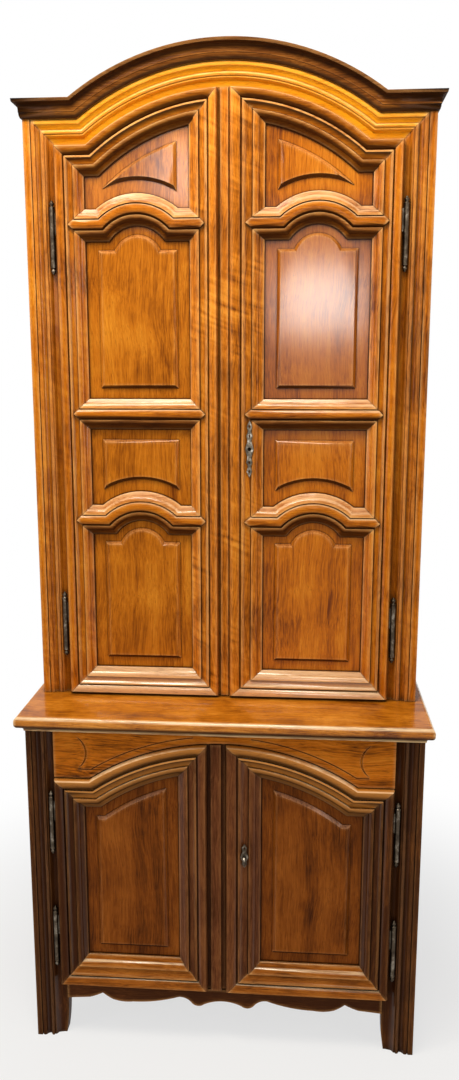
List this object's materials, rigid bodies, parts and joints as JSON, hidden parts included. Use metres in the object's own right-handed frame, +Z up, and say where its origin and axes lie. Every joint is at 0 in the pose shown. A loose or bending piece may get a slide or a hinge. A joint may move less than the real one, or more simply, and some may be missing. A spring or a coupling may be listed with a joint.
{
  "type": "two-piece buffet",
  "caption": "Two-piece moulded walnut buffet: a tall arched upper cabinet with panelled doors standing loose on a deeper lower cabinet with a scalloped apron.",
  "frame": {"origin": "on the floor under the middle of the overall box", "axes": "+X to the right seen from the front, +Y to the back, +Z up"},
  "size_m": [0.996, 0.552, 2.417],
  "materials": {
    "walnut": "waxed and polished, warm brown with dark quirks",
    "inner_boards": "unpolished boards",
    "iron": "dark wrought iron",
    "steel": "old worn steel"
  },
  "bodies": {
    "lower_cabinet": {"lower_apron": "walnut", "lower_back": "inner_boards", "lower_floor": "inner_boards", "lower_head_rail": "walnut", "lower_left_front_post": "walnut", "lower_post_hinges": "iron", "lower_rear_posts": "walnut", "lower_right_front_post": "walnut", "lower_shelf": "inner_boards", "lower_side_panels": "walnut", "lower_side_rails": "walnut", "waist_top": "walnut"},
    "upper_cabinet": {"cornice": "walnut", "locating_pegs": "inner_boards", "upper_back": "inner_boards", "upper_floor": "inner_boards", "upper_head_rail": "walnut", "upper_left_front_post": "walnut", "upper_post_hinges": "iron", "upper_rear_posts": "walnut", "upper_right_front_post": "walnut", "upper_roof": "inner_boards", "upper_shelves": "inner_boards", "upper_side_panels": "walnut", "upper_side_rails": "walnut"},
    "lower_left_door": {"lower_left_hinge_stile": "walnut", "lower_left_meeting_stile": "walnut", "lower_left_rails": "walnut", "lower_left_door_hinges": "iron", "lower_left_panel": "walnut", "lower_left_door_irons": "iron"},
    "lower_right_door": {"lower_right_hinge_stile": "walnut", "lower_right_meeting_stile": "walnut", "lower_right_rails": "walnut", "lower_right_door_hinges": "iron", "lower_right_panel": "walnut", "lower_escutcheon": "steel", "lower_lock_case": "iron"},
    "upper_left_door": {"upper_left_hinge_stile": "walnut", "upper_left_meeting_stile": "walnut", "upper_left_rails": "walnut", "upper_left_door_hinges": "iron", "upper_left_panels": "walnut", "upper_left_door_irons": "iron"},
    "upper_right_door": {"upper_right_hinge_stile": "walnut", "upper_right_meeting_stile": "walnut", "upper_right_rails": "walnut", "upper_right_door_hinges": "iron", "upper_right_panels": "walnut", "upper_escutcheon": "steel", "upper_lock_case": "iron"},
    "lower_key": {"lower_key": "steel"},
    "lower_lock_bolt": {"lower_lock_bolt": "iron"},
    "upper_lock_bolt": {"upper_lock_bolt": "iron"},
    "lower_slide_bolt": {"lower_slide_bolt": "iron"},
    "upper_slide_bolt": {"upper_slide_bolt": "iron"}
  },
  "joints": [
    {"name": "upper_lift", "type": "slide", "parent": "lower_cabinet", "child": "upper_cabinet", "axis": [0, 0, 1], "range_m": [0, 0.09]},
    {"name": "lower_left_door_swing", "type": "hinge", "parent": "lower_cabinet", "child": "lower_left_door", "pos_m": [-0.422, -0.241, 0.44], "axis": [0, 0, -1], "range_deg": [0, 105]},
    {"name": "lower_right_door_swing", "type": "hinge", "parent": "lower_cabinet", "child": "lower_right_door", "pos_m": [0.422, -0.241, 0.44], "axis": [0, 0, 1], "range_deg": [0, 105]},
    {"name": "upper_left_door_swing", "type": "hinge", "parent": "upper_cabinet", "child": "upper_left_door", "pos_m": [-0.41, -0.093, 1.531], "axis": [0, 0, -1], "range_deg": [0, 105]},
    {"name": "upper_right_door_swing", "type": "hinge", "parent": "upper_cabinet", "child": "upper_right_door", "pos_m": [0.41, -0.093, 1.531], "axis": [0, 0, 1], "range_deg": [0, 105]},
    {"name": "lower_key_turn", "type": "hinge", "parent": "lower_right_door", "child": "lower_key", "pos_m": [0.055, -0.244, 0.527], "axis": [0, 1, 0], "range_deg": [0, 180]},
    {"name": "lower_lock_bolt_slide", "type": "slide", "parent": "lower_right_door", "child": "lower_lock_bolt", "axis": [-1, 0, 0], "range_m": [0, 0.014]},
    {"name": "upper_lock_bolt_slide", "type": "slide", "parent": "upper_right_door", "child": "upper_lock_bolt", "axis": [-1, 0, 0], "range_m": [0, 0.014]},
    {"name": "lower_slide_bolt_slide", "type": "slide", "parent": "lower_left_door", "child": "lower_slide_bolt", "axis": [0, 0, 1], "range_m": [0, 0.03]},
    {"name": "upper_slide_bolt_slide", "type": "slide", "parent": "upper_left_door", "child": "upper_slide_bolt", "axis": [0, 0, 1], "range_m": [0, 0.03]}
  ],
  "couplings": [
    {"joint": "lower_key_turn", "follows": "lower_lock_bolt_slide", "rad_per_m": 224.3}
  ]
}
